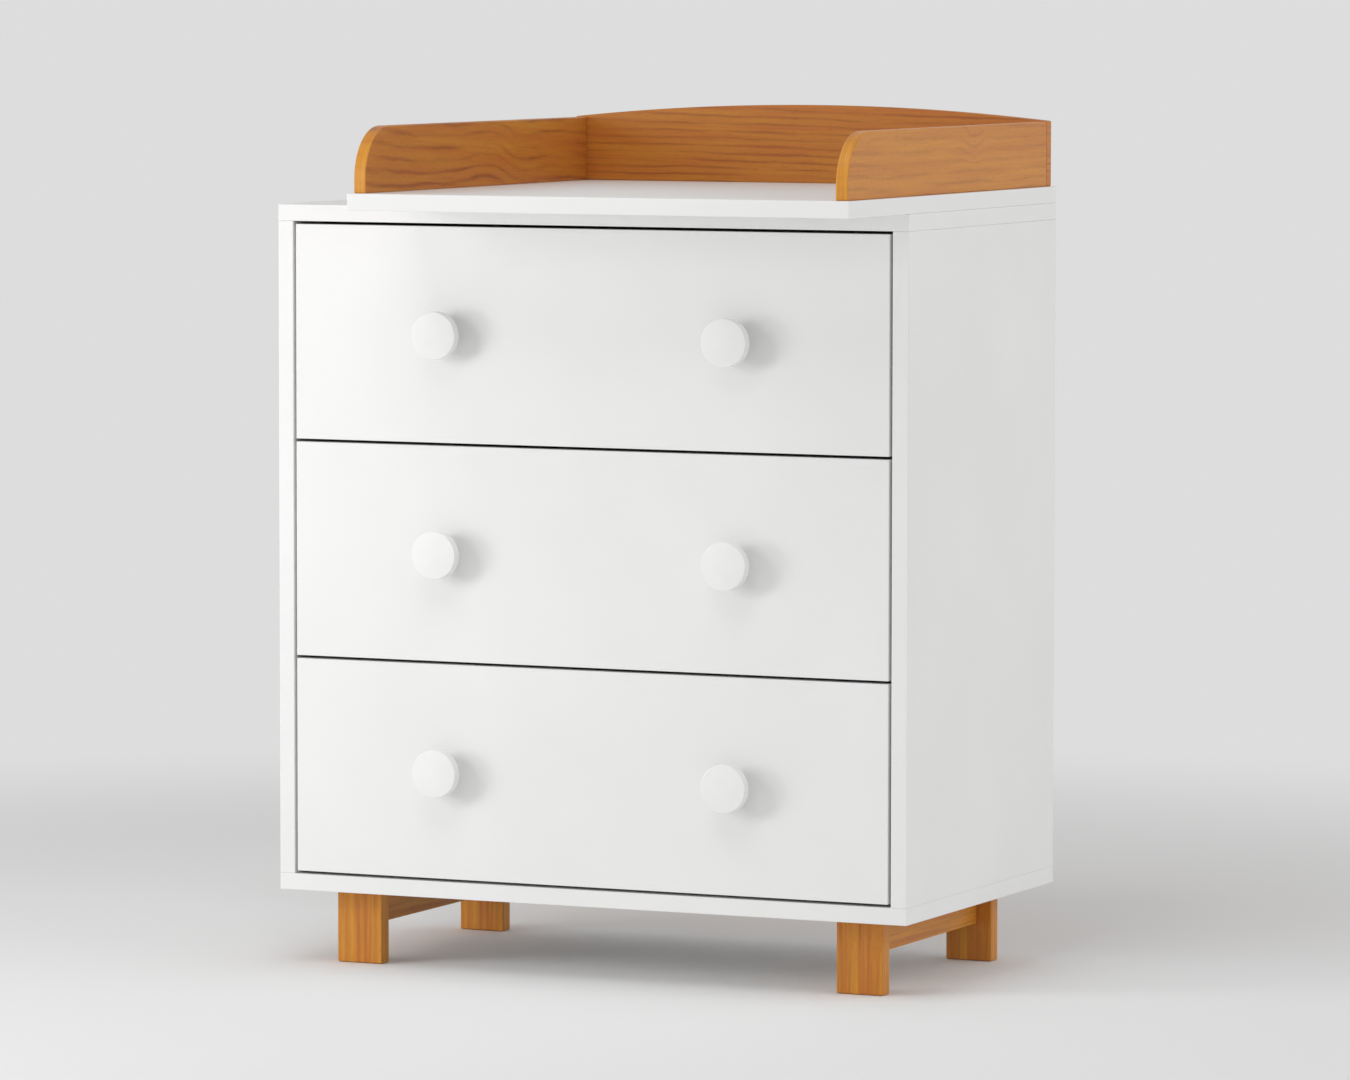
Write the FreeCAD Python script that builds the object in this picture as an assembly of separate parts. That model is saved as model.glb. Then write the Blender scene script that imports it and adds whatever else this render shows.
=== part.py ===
import FreeCAD, Part
import math
import os

# Changing dresser: a white chest of three inset drawers on two low wooden leg frames, with a
# white changing board on top that overhangs the front and carries three wooden rails.
# Millimetres, +Z up, +Y towards the back, +X to the right as seen from the front.
# The origin lies on the floor, under the centre of the whole object's box.

Vector = FreeCAD.Vector
X_AXIS, Y_AXIS, Z_AXIS = Vector(1, 0, 0), Vector(0, 1, 0), Vector(0, 0, 1)

# ---- Driving dimensions -------------------------------------------------------------------
# Carcass: top and bottom panels cap the two side panels
carcass_width = 800.0
carcass_depth = 446.0
carcass_height = 806.0
board = 19.5                   # lacquered panels: carcass, drawer fronts, changing board
arris = 0.6                    # eased edge of every lacquered panel
back_thickness = 3.2           # hardboard back, held in a groove all round
back_inset = 10.0              # rear edge of the carcass to the back panel
groove_depth = 7.0
groove_play = 1.0              # room left at the bottom of a groove

# Leg frames: two flat boards joined by a rail, one frame under each side
leg_height = 89.0
leg_width = 58.0
leg_thickness = 20.0
leg_side_inset = 50.0
leg_end_inset = 50.0
leg_rail_height = 44.5
leg_rail_thickness = 20.0
leg_arris = 1.0

# Changing board and its rails
changing_width = 623.0
changing_overhang = 169.0      # how far it stands out over the drawers
rail_thickness = 15.0
rail_side_inset = 5.0
rail_front_inset = 8.0
rail_back_inset = 4.0
side_rail_height = 76.0
side_rail_corner = 60.0        # radius of the front upper corner
back_rail_end_height = 77.0
back_rail_crest_height = 93.0
rail_arris = 1.2

# Drawers
drawer_names = ("drawer_bottom", "drawer_middle", "drawer_top")
front_gap = 3.5                # all round each front
box_board = 15.0
box_height = 190.0
box_lift = 22.0                # bottom edge of the front to the bottom edge of the box
box_bottom_thickness = 3.2
box_groove_lift = 12.0         # bottom edge of the box to its bottom panel
box_groove_depth = 6.0

# Knobs: turned mushroom, two on each front
knob_spacing = 368.0
knob_diameter = 56.0
knob_projection = 30.0         # front of the drawer to the crown of the knob
knob_crown = 1.3               # how far the face falls from its middle to its edge
knob_crown_flats = 2           # the crowned face is turned in this many flats
knob_rim = 11.5                # thickness of the head at its edge
knob_neck_diameter = 20.0
knob_seat_diameter = 25.0

# Telescopic runners: three rolled-steel members and two ball cages on each side
runner_step = 50.0             # runners come in lengths of so many whole steps
runner_rear_room = 5.0         # least room between a drawer box and the back panel
runner_setback = 2.5           # back of the front to the end of the members
runner_lift = 62.0             # bottom edge of the box to the runner's centre line
runner_thickness = 12.7
runner_height = 45.0
runner_steel = 1.0
ball_play = 0.3                # ball to raceway
ball_facets = 6
cage_steel = 0.4
cage_play = 0.35               # web of a cage to the member on each side of it
cage_shortfall = 10.0          # how much shorter a cage is than half a runner
cage_ball_inset = 12.0         # end of the cage to its outermost balls
cage_flange_height = 0.8       # of a ball's radius, over the centre of the ball
cage_flange_reach = 0.3        # of a ball's radius, past the centre of the ball
fold_gap = 0.8                 # inside the fold of the middle member
hook_gap = 0.6                 # hook of the middle member to the web of the drawer member
hook_share = 0.3               # of a ball's radius, how far a hook runs past the centre of the balls
member_hole_diameter = 5.0
member_hole_inset = 36.0
member_hole_facets = 6
race_flats = 2                 # a rolled raceway is drawn in this many flats

# Joinery
dowel_diameter = 8.0
dowel_length = 30.0
dowel_facets = 6               # a fluted dowel, drawn with few flats
dowel_into_cap = 10.0
dowel_into_leg = 12.0
carcass_dowel_inset = 70.0
leg_dowel_spacing = 22.0
screw_diameter = 4.0
screw_head_diameter = 8.0
screw_head_height = 3.0
screw_length = 35.0
screw_facets = 6
leg_screw_inset = 86.0         # end of a leg rail to the screws that hold it
rail_screw_inset = 19.0        # lower and upper edge of a side rail to its screws
board_screw_side_inset = 90.0
board_screw_end_inset = 70.0
overcut = 1.0                  # how far a cutting shape runs past the piece

# ---- Positions worked out from them -------------------------------------------------------
half_width = carcass_width / 2
y_rear = (carcass_depth + changing_overhang) / 2
y_front = y_rear - carcass_depth
y_board_front = y_front - changing_overhang
z_base = leg_height                          # underside of the bottom panel
z_inner_low = z_base + board
z_top = z_base + carcass_height              # upper face of the top panel
z_inner_high = z_top - board
x_inner = half_width - board                 # inner face of the right side panel
y_back_panel = y_rear - back_inset - back_thickness
z_changing = z_top + board                   # upper face of the changing board
x_changing_left = half_width - changing_width

front_width = 2 * (x_inner - front_gap)
front_height = (z_inner_high - z_inner_low - 4 * front_gap) / 3
box_width = 2 * (x_inner - runner_thickness)
y_box_front = y_front + board                # back face of the drawer front
runner_length = runner_step * math.floor((y_back_panel - y_box_front - runner_rear_room) / runner_step)
cage_length = runner_length / 2 - cage_shortfall
y_box_rear = y_box_front + runner_length

tiny = 1e-6                                  # what counts as no length at all
parts = {}


# ---- Shared shapes ------------------------------------------------------------------------
def block(x_low, x_high, y_low, y_high, z_low, z_high):
    """A plain block between two corners."""
    return Part.makeBox(x_high - x_low, y_high - y_low, z_high - z_low, Vector(x_low, y_low, z_low))


def eased(shape, size):
    """The same block with a small chamfer along every edge."""
    return shape.makeChamfer(size, shape.Edges)


def mirrored(shape):
    """The same piece on the other side of the dresser."""
    return shape.mirror(Vector(0, 0, 0), X_AXIS)


def both_sides(shape):
    """A left-hand piece and its right-hand twin, as separate solids."""
    return Part.Compound([shape, mirrored(shape)])


def many_sided_rod(start, direction, radius, length, facets, end_radius=None):
    """A straight bar with flats, from start along direction, which may taper."""
    end_radius = radius if end_radius is None else end_radius
    across = X_AXIS if abs(direction.x) < 0.5 else Y_AXIS
    up = direction.cross(across)
    rings = []
    for along, size in ((0.0, radius), (length, end_radius)):
        centre = start + direction * along
        turns = [2 * math.pi * (k + 0.5) / facets for k in range(facets)]
        rings.append([centre + across * (size * math.cos(a)) + up * (size * math.sin(a)) for a in turns])
    low, high = rings
    outlines = [low, high] + [[low[k - 1], low[k], high[k], high[k - 1]] for k in range(facets)]
    shell = Part.Shell([Part.Face(Part.makePolygon(line + line[:1])) for line in outlines])
    solid = Part.Solid(shell)
    return solid if solid.Volume > 0 else solid.reversed()


def dowel(middle, direction):
    """A fluted dowel, half in each of the two pieces that it joins."""
    start = middle - Vector(direction) * (dowel_length / 2)
    return many_sided_rod(start, direction, dowel_diameter / 2, dowel_length, dowel_facets)


def screw(head, direction):
    """A countersunk wood screw whose flat head lies at the point named head."""
    cone = many_sided_rod(
        head, direction, screw_head_diameter / 2, screw_head_height, screw_facets, screw_diameter / 2
    )
    shank = many_sided_rod(head, direction, screw_diameter / 2, screw_length, screw_facets)
    return cone.fuse(shank).removeSplitter()


# ---- Joinery: dowels and screws, and the holes that they need ------------------------------
def carcass_dowels():
    """Two dowels in each corner joint, upright through the ends of the side panels."""
    x = half_width - board / 2
    rows = (y_front + carcass_dowel_inset, y_rear - carcass_dowel_inset)
    into_side = dowel_length / 2 - dowel_into_cap
    levels = (z_inner_low + into_side, z_inner_high - into_side)
    return [dowel(Vector(side * x, y, z), Z_AXIS) for side in (-1, 1) for y in rows for z in levels]


def leg_dowels():
    """Two dowels in each butt joint between a leg and the rail of its frame."""
    x = half_width - leg_side_inset - leg_width / 2
    joints = (y_front + leg_end_inset + leg_thickness, y_rear - leg_end_inset - leg_thickness)
    middle = leg_height - leg_rail_height / 2
    levels = (middle - leg_dowel_spacing / 2, middle + leg_dowel_spacing / 2)
    into_rail = dowel_length / 2 - dowel_into_leg
    found = []
    for side in (-1, 1):
        for y, inward in ((joints[0], 1), (joints[1], -1)):
            for z in levels:
                found.append(dowel(Vector(side * x, y + inward * into_rail, z), Y_AXIS))
    return found


def leg_frame_screws():
    """Two screws down through the bottom panel into each leg rail."""
    x = half_width - leg_side_inset - leg_width / 2
    inset = leg_end_inset + leg_thickness + leg_screw_inset
    rows = (y_front + inset, y_rear - inset)
    return [screw(Vector(side * x, y, z_inner_low), -Z_AXIS) for side in (-1, 1) for y in rows]


def rail_corner_screws():
    """Two screws through the back rail into the end of each side rail."""
    x_left = x_changing_left + rail_side_inset + rail_thickness / 2
    x_right = half_width - rail_side_inset - rail_thickness / 2
    y = y_rear - rail_back_inset
    levels = (z_changing + rail_screw_inset, z_changing + side_rail_height - rail_screw_inset)
    return [screw(Vector(x, y, z), -Y_AXIS) for x in (x_left, x_right) for z in levels]


def changing_board_screws():
    """Four screws up through the top panel that hold the changing board down."""
    x_pair = (x_changing_left + board_screw_side_inset, half_width - board_screw_side_inset)
    y_pair = (y_front + board_screw_end_inset, y_rear - board_screw_end_inset)
    return [screw(Vector(x, y, z_inner_high), Z_AXIS) for x in x_pair for y in y_pair]


dowels_in_carcass = carcass_dowels()
dowels_in_legs = leg_dowels()
screws_in_legs = leg_frame_screws()
screws_in_rails = rail_corner_screws()
screws_in_board = changing_board_screws()


def drilled(shape, fasteners):
    """The piece with a snug hole wherever one of the fasteners runs through it."""
    for fastener in fasteners:
        if shape.BoundBox.intersect(fastener.BoundBox):
            shape = shape.cut(fastener)
    return shape


parts["dowels"] = Part.Compound(dowels_in_carcass + dowels_in_legs)
parts["wood_screws"] = Part.Compound(screws_in_legs + screws_in_rails + screws_in_board)


# ---- Carcass ------------------------------------------------------------------------------
back_reach = groove_depth - groove_play      # how far the back panel enters its grooves
back_groove = block(
    -x_inner - groove_depth,
    x_inner + groove_depth,
    y_back_panel,
    y_back_panel + back_thickness,
    z_inner_low - groove_depth,
    z_inner_high + groove_depth,
)


def side_panel():
    """Left side panel, standing between the caps, grooved for the back panel."""
    panel = block(-half_width, -x_inner, y_front, y_rear, z_inner_low, z_inner_high)
    return drilled(eased(panel, arris).cut(back_groove), dowels_in_carcass)


def cap_panel(z_low):
    """Top or bottom panel, which covers the ends of the side panels."""
    panel = eased(block(-half_width, half_width, y_front, y_rear, z_low, z_low + board), arris)
    return drilled(panel.cut(back_groove), dowels_in_carcass)


parts["side_panel_left"] = side_panel()
parts["side_panel_right"] = mirrored(parts["side_panel_left"])
parts["bottom_panel"] = drilled(cap_panel(z_base), screws_in_legs)
parts["top_panel"] = drilled(cap_panel(z_inner_high), screws_in_board)
parts["back_panel"] = block(
    -x_inner - back_reach,
    x_inner + back_reach,
    y_back_panel,
    y_back_panel + back_thickness,
    z_inner_low - back_reach,
    z_inner_high + back_reach,
)


# ---- Leg frames ---------------------------------------------------------------------------
def leg(y_low):
    """A left-hand leg: a flat board on end, its broad face to the front."""
    x_low = -half_width + leg_side_inset
    piece = block(x_low, x_low + leg_width, y_low, y_low + leg_thickness, 0, leg_height)
    return drilled(eased(piece, leg_arris), dowels_in_legs)


def leg_rail():
    """The left-hand rail between front and rear leg, centred on their width."""
    x = -half_width + leg_side_inset + leg_width / 2
    rail = block(
        x - leg_rail_thickness / 2,
        x + leg_rail_thickness / 2,
        y_front + leg_end_inset + leg_thickness,
        y_rear - leg_end_inset - leg_thickness,
        leg_height - leg_rail_height,
        leg_height,
    )
    return drilled(rail, dowels_in_legs + screws_in_legs)


parts["leg_front_left"] = leg(y_front + leg_end_inset)
parts["leg_rear_left"] = leg(y_rear - leg_end_inset - leg_thickness)
parts["leg_rail_left"] = leg_rail()
for place in ("leg_front", "leg_rear", "leg_rail"):
    parts[place + "_right"] = mirrored(parts[place + "_left"])


# ---- Changing board and rails -------------------------------------------------------------
def plate(outline, direction):
    """A flat piece: a closed outline, carried along direction."""
    return Part.Face(Part.Wire(outline)).extrude(direction)


def side_rail(x_low):
    """A rail along one side of the board, its front upper corner rounded."""
    y_low = y_board_front + rail_front_inset
    y_high = y_rear - rail_back_inset - rail_thickness
    z_low, z_high = z_changing, z_changing + side_rail_height
    turn = side_rail_corner * (1 - math.sqrt(0.5))
    corners = (
        Vector(x_low, y_low, z_high - side_rail_corner),
        Vector(x_low, y_low + turn, z_high - turn),
        Vector(x_low, y_low + side_rail_corner, z_high),
    )
    outline = [
        Part.Arc(*corners).toShape(),
        Part.LineSegment(corners[2], Vector(x_low, y_high, z_high)).toShape(),
        Part.LineSegment(Vector(x_low, y_high, z_high), Vector(x_low, y_high, z_low)).toShape(),
        Part.LineSegment(Vector(x_low, y_high, z_low), Vector(x_low, y_low, z_low)).toShape(),
        Part.LineSegment(Vector(x_low, y_low, z_low), corners[0]).toShape(),
    ]
    rail = plate(outline, X_AXIS * rail_thickness)
    flat = [e for e in rail.Edges if e.BoundBox.XLength < tiny]
    seen = [e for e in flat if e.BoundBox.ZMax > z_low + tiny and e.BoundBox.YMin < y_high - tiny]
    return drilled(rail.makeChamfer(rail_arris, seen), screws_in_rails)


def back_rail():
    """The rail across the back, behind the side rails, with a long low arch along its top."""
    x_low = x_changing_left + rail_side_inset
    x_high = half_width - rail_side_inset
    y_low = y_rear - rail_back_inset - rail_thickness
    end = z_changing + back_rail_end_height
    crest = Vector((x_low + x_high) / 2, y_low, z_changing + back_rail_crest_height)
    low_left, low_right = Vector(x_low, y_low, z_changing), Vector(x_high, y_low, z_changing)
    high_left, high_right = Vector(x_low, y_low, end), Vector(x_high, y_low, end)
    outline = [
        Part.Arc(high_left, crest, high_right).toShape(),
        Part.LineSegment(high_right, low_right).toShape(),
        Part.LineSegment(low_right, low_left).toShape(),
        Part.LineSegment(low_left, high_left).toShape(),
    ]
    rail = plate(outline, Y_AXIS * rail_thickness)
    seen = [e for e in rail.Edges if e.BoundBox.YLength < tiny and e.BoundBox.ZMax > end - tiny]
    return drilled(rail.makeChamfer(rail_arris, seen), screws_in_rails)


changing_board = block(x_changing_left, half_width, y_board_front, y_rear, z_top, z_changing)
parts["changing_board"] = drilled(eased(changing_board, arris), screws_in_board)
parts["rail_left"] = side_rail(x_changing_left + rail_side_inset)
parts["rail_right"] = side_rail(half_width - rail_side_inset - rail_thickness)
parts["rail_back"] = back_rail()


# ---- Drawer boxes and knobs ---------------------------------------------------------------
def drawer_front(z_low):
    """The inset front, grooved at the back for the drawer bottom."""
    panel = block(-front_width / 2, front_width / 2, y_front, y_front + board, z_low, z_low + front_height)
    return eased(panel, arris)


def drawer_bottom_panel(z_box):
    """Hardboard bottom, in grooves of the front and sides, running under the box back."""
    reach = box_groove_depth - groove_play
    half = box_width / 2 - box_board + reach
    z_low = z_box + box_groove_lift
    return block(-half, half, y_box_front - reach, y_box_rear, z_low, z_low + box_bottom_thickness)


def box_bottom_groove(z_box):
    """What is cut from the front and sides to take the drawer bottom."""
    half = box_width / 2 - box_board + box_groove_depth
    z_low = z_box + box_groove_lift
    return block(
        -half, half, y_box_front - box_groove_depth, y_box_rear, z_low, z_low + box_bottom_thickness
    )


def box_side(z_box):
    """Left side of the drawer box, butted against the back of the front."""
    half = box_width / 2
    return block(-half, -half + box_board, y_box_front, y_box_rear, z_box, z_box + box_height)


def box_back(z_box):
    """Back of the drawer box, standing on the bottom panel between the sides."""
    half = box_width / 2 - box_board
    z_low = z_box + box_groove_lift + box_bottom_thickness
    return block(-half, half, y_box_rear - box_board, y_box_rear, z_low, z_box + box_height)


def knob(x, z):
    """A turned knob: crowned face, straight rim, head cut back to a neck, and a wider seat."""
    radius = knob_diameter / 2
    shoulder = knob_projection - knob_crown
    head_back = shoulder - knob_rim
    shares = [k / knob_crown_flats for k in range(knob_crown_flats + 1)]
    outline = [(radius * share, knob_projection - knob_crown * share**2) for share in shares]
    outline += [
        (radius, head_back),
        (knob_neck_diameter / 2, head_back),
        (knob_seat_diameter / 2, 0),
        (0, 0),
        (0, knob_projection),
    ]
    profile = Part.makePolygon([Vector(x + out, y_front - height, z) for out, height in outline])
    return Part.Face(profile).revolve(Vector(x, 0, z), Y_AXIS, 360)


def add_drawer(name, z_low):
    """All pieces of one drawer that are not runners."""
    z_box = z_low + box_lift
    groove = box_bottom_groove(z_box)
    side = box_side(z_box).cut(groove)
    parts[name + "_front"] = drawer_front(z_low).cut(groove)
    parts[name + "_side_left"] = side
    parts[name + "_side_right"] = mirrored(side)
    parts[name + "_back"] = box_back(z_box)
    parts[name + "_base"] = drawer_bottom_panel(z_box)
    z_knob = z_low + front_height / 2
    parts[name + "_knobs"] = Part.Compound([knob(s * knob_spacing / 2, z_knob) for s in (-1, 1)])


# ---- Telescopic runners -------------------------------------------------------------------
# Each section is drawn on a flat, (out, up): out is the distance from the side panel towards
# the drawer, and up the height above the runner's centre line. Balls run in two rows, above
# and below. The outer stage lies between cabinet and middle member, the inner stage between
# middle and drawer member. Webs come first, and the room that they leave sets the balls.
half_steel = runner_steel / 2
half_cage = cage_steel / 2
cabinet_web = half_steel
outer_cage_web = cabinet_web + half_steel + cage_play + half_cage
middle_web = outer_cage_web + half_cage + cage_play + half_steel
shoulder = middle_web + runner_steel + fold_gap
inner_cage_web = middle_web + half_steel + cage_play + half_cage
drawer_lip = inner_cage_web + half_cage + cage_play + half_steel
drawer_web = runner_thickness - half_steel
inner_hook = drawer_web - runner_steel - hook_gap

bend = (inner_hook - drawer_lip) / 2         # radius of a raceway at the middle of its steel
race = bend * math.cos(math.pi / 4 / race_flats) - half_steel
ball_radius = race - ball_play
hook_reach = ball_radius * hook_share
flange_rise = ball_radius * cage_flange_height
fold_rise = flange_rise - half_cage - cage_play - half_steel
outer_ball_out = shoulder + bend
inner_ball_out = drawer_lip + bend
cabinet_hook = outer_ball_out + bend

outer_flange = runner_height / 2 - half_steel
outer_ball_up = outer_flange - bend
middle_flange = outer_ball_up - bend
inner_ball_up = middle_flange - bend
drawer_flange = inner_ball_up - bend


def strip_section(path, thickness, bends):
    """A face as wide as thickness along a path of (out, up) points.

    bends holds one radius for each inner point of the path, or 0 for a square corner. A bend
    becomes race_flats flats, between points on its arc, and is no larger than its runs allow.
    """
    points = [Vector(out, 0, up) for out, up in path]
    line = [points[0]]
    for before, corner, after, radius in zip(points, points[1:], points[2:], bends):
        if radius == 0:
            line.append(corner)
            continue
        back, on = (before - corner).normalize(), (after - corner).normalize()
        half_angle = back.getAngle(on) / 2
        shorter_run = min(corner.distanceToPoint(before), corner.distanceToPoint(after))
        radius = min(radius, shorter_run * math.tan(half_angle))
        centre = corner + (back + on).normalize() * (radius / math.sin(half_angle))
        start = corner + back * (radius / math.tan(half_angle)) - centre
        end = corner + on * (radius / math.tan(half_angle)) - centre
        sweep = start.getAngle(end)
        for k in range(race_flats + 1):
            share = k / race_flats
            spoke = start * math.sin(sweep * (1 - share)) + end * math.sin(sweep * share)
            line.append(centre + spoke * (1 / math.sin(sweep)))
    line.append(points[-1])
    line = line[:1] + [on for back, on in zip(line, line[1:]) if on.distanceToPoint(back) > tiny]
    runs = [(b - a).normalize() for a, b in zip(line, line[1:])]
    normals = [Vector(-run.z, 0, run.x) for run in runs]
    mitres = [normals[0]]
    for before, after in zip(normals, normals[1:]):
        mitres.append((before + after) * (1 / (1 + before.dot(after))))
    mitres.append(normals[-1])
    near = [p + m * (thickness / 2) for p, m in zip(line, mitres)]
    far = [p - m * (thickness / 2) for p, m in zip(line, mitres)]
    return Part.Face(Part.makePolygon(near + far[::-1] + near[:1]))


def with_mirror_image(path):
    """A path over the upper half of a section, followed by the same over its lower half."""
    return path + [(out, -up) for out, up in reversed(path)]


def rolled(path, bends, thickness, y_low, length):
    """A left-hand member of one section, symmetric about the runner's centre line."""
    section = strip_section(with_mirror_image(path), thickness, bends + bends[::-1])
    section.translate(Vector(-x_inner, y_low, 0))
    return section.extrude(Y_AXIS * length)


def with_screw_holes(member, y_low):
    """The member with a screw hole through its web near each end."""
    for y in (y_low + member_hole_inset, y_low + runner_length - member_hole_inset):
        start = Vector(-x_inner - overcut, y, 0)
        reach = runner_thickness + 2 * overcut
        member = member.cut(
            many_sided_rod(start, X_AXIS, member_hole_diameter / 2, reach, member_hole_facets)
        )
    return member


def ball(out, y, up):
    """A ball of a few flats, all of its corners on the true sphere: a drum of two tapers."""
    centre = Vector(-x_inner + out, y, up)
    flat_end = ball_radius / 2
    end_radius = math.sqrt(ball_radius**2 - flat_end**2)
    halves = [
        many_sided_rod(centre, axis, ball_radius, flat_end, ball_facets, end_radius)
        for axis in (Y_AXIS, -Y_AXIS)
    ]
    return halves[0].fuse(halves[1]).removeSplitter()


def ball_cage(web, flange, tip, ball_out, ball_up, y_low):
    """A thin steel channel with balls held at both ends of its two flanges."""
    cage = rolled([(tip, flange), (web, flange)], [0], cage_steel, y_low, cage_length)
    rows = (y_low + cage_ball_inset, y_low + cage_length - cage_ball_inset)
    for y in rows:
        for side in (-1, 1):
            cage = cage.fuse(ball(ball_out, y, side * ball_up))
    return cage.removeSplitter()


def runner_members():
    """The left-hand cabinet, middle and drawer member, with their centre line at height 0."""
    y_low = y_box_front + runner_setback
    cabinet = rolled(
        [
            (cabinet_hook, outer_ball_up - hook_reach),
            (cabinet_hook, outer_flange),
            (cabinet_web, outer_flange),
        ],
        [bend, 0],
        runner_steel,
        y_low,
        runner_length,
    )
    middle = rolled(
        [
            (inner_hook, inner_ball_up - hook_reach),
            (inner_hook, middle_flange),
            (shoulder, middle_flange),
            (shoulder, outer_ball_up + fold_rise),
            (middle_web, outer_ball_up + fold_rise),
        ],
        [bend, bend, 0, 0],
        runner_steel,
        y_low,
        runner_length,
    )
    drawer = rolled(
        [
            (drawer_lip, inner_ball_up + hook_reach),
            (drawer_lip, drawer_flange),
            (drawer_web, drawer_flange),
        ],
        [bend, 0],
        runner_steel,
        y_low,
        runner_length,
    )
    return with_screw_holes(cabinet, y_low), middle, with_screw_holes(drawer, y_low)


def runner_cages():
    """The left-hand outer and inner ball cage, with their centre line at height 0."""
    y_low = y_box_front + runner_setback + (runner_length - cage_length) / 2
    stages = (
        (outer_cage_web, outer_ball_out, outer_ball_up),
        (inner_cage_web, inner_ball_out, inner_ball_up),
    )
    cages = []
    for web, out, up in stages:
        tip = out + ball_radius * cage_flange_reach
        cages.append(ball_cage(web, up + flange_rise, tip, out, up, y_low))
    return cages


def add_runners(levels):
    """The runners of every drawer: pairs by stage, and the cabinet members by side."""
    cabinet, middle, drawer = runner_members()
    outer_cage, inner_cage = runner_cages()
    fixed = [cabinet.translated(Z_AXIS * z) for z in levels]
    parts["cabinet_runners_left"] = Part.Compound(fixed)
    parts["cabinet_runners_right"] = mirrored(parts["cabinet_runners_left"])
    for name, z in zip(drawer_names, levels):
        moving = {
            "_runner_middle": middle,
            "_runner_inner": drawer,
            "_cage_outer": outer_cage,
            "_cage_inner": inner_cage,
        }
        for ending, piece in moving.items():
            parts[name + ending] = both_sides(piece.translated(Z_AXIS * z))


front_levels = [z_inner_low + front_gap + k * (front_height + front_gap) for k in range(3)]
for drawer_name, level in zip(drawer_names, front_levels):
    add_drawer(drawer_name, level)
add_runners([level + box_lift + runner_lift for level in front_levels])

os.makedirs("parts", exist_ok=True)
for node, piece in parts.items():
    piece.exportStep(os.path.join("parts", node + ".step"))
    print(node, len(piece.Solids), "solids", round(piece.Volume / 1000, 1), "cm3")
print(len(parts), "nodes")
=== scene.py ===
import math

import bpy
import numpy as np
from mathutils import Matrix, Vector


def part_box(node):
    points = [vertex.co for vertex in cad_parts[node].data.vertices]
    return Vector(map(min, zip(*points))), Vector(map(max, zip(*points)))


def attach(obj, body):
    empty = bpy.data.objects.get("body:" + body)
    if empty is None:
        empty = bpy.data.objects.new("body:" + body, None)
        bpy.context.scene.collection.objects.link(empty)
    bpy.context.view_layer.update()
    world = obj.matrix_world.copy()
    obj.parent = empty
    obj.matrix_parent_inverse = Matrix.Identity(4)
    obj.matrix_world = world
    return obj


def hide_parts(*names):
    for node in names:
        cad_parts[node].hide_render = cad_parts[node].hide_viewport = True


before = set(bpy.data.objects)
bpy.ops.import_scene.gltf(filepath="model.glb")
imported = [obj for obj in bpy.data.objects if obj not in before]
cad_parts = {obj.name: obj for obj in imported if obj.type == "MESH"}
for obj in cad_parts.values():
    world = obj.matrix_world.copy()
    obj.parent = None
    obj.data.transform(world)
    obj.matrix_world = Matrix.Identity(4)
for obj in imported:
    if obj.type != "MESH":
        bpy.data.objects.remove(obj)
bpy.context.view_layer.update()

# ---- Carcass ------------------------------------------------------------------------------
# Four panels of chipboard with a satin white lacquer sprayed over all faces and edges. The
# bottom and the top cap the two sides and are glued and dowelled to them, and every edge is
# eased with fine paper before the last coat.
LACQUER_ARRIS = 0.0009
ARC_STEPS = 5                    # points on each eased edge


def outline(corners, radii, steps=ARC_STEPS):
    """A closed line on a flat, turned on a radius at each corner.

    At a corner the line is the centre of its arc plus the radius along a direction that swings
    from the one run's normal to the next run's. Gives the points, the directions that face out,
    and the directions in which the line is drawn inwards, which are mitred at a sharp corner.
    """
    corners, radii = np.array(corners, float), np.broadcast_to(radii, len(corners)).astype(float)
    after = np.roll(corners, -1, 0)
    if (corners[:, 0] * after[:, 1] - corners[:, 1] * after[:, 0]).sum() < 0:
        corners, radii = corners[::-1], radii[::-1]
    run = np.roll(corners, -1, 0) - corners
    run /= np.linalg.norm(run, axis=1, keepdims=True)
    out = np.stack((run[:, 1], -run[:, 0]), 1)
    came = np.roll(out, 1, 0)
    turn = np.arctan2(came[:, 0] * out[:, 1] - came[:, 1] * out[:, 0], (came * out).sum(1))
    mitre = (came + out) / (1 + (came * out).sum(1))[:, None]
    signed = (np.sign(turn) * radii)[:, None]
    share = np.linspace(0, 1, steps + 1)
    swing = np.arctan2(came[:, 1], came[:, 0])[:, None] + turn[:, None] * share
    facing = np.stack((np.cos(swing), np.sin(swing)), -1)
    points = (corners - mitre * signed)[:, None] + facing * signed[:, None]
    inward = np.where(radii[:, None, None] > 0, facing, mitre[:, None])
    return points.reshape(-1, 2), facing.reshape(-1, 2), inward.reshape(-1, 2)


def plate(line, low, high, edge=0.0, axes="xyz", steps=ARC_STEPS):
    """A flat piece: a closed line carried from low to high, both rims rounded.

    Each ring is the line, drawn in by edge (1 - cos t) and lifted by edge sin t, where t runs
    from -90 to 90 degrees and waits at 0 while the ring goes from one face to the other.
    """
    points, facing, inward = line
    quarter = np.radians(np.linspace(0, 90, steps + 1))
    t = np.concatenate((-quarter[::-1], quarter))[:, None]
    level = np.where(np.arange(len(t))[:, None] <= steps, low + edge, high - edge)
    level = level + edge * np.sin(t)
    flat = points - inward * (edge * (1 - np.cos(t)))[..., None]
    column = flat.shape[:2] + (1,)
    grid = np.concatenate((flat, np.broadcast_to(level[..., None], column)), -1)
    lifted = np.broadcast_to(np.sin(t)[..., None], column)
    normals = np.concatenate((facing * np.cos(t)[..., None], lifted), -1)
    order = [axes.index(a) for a in "xyz"]
    return grid[..., order], normals[..., order]


def rectangle(a_low, a_high, b_low, b_high):
    """Its four corners, in order."""
    return [(a_low, b_low), (a_high, b_low), (a_high, b_high), (a_low, b_high)]


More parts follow.
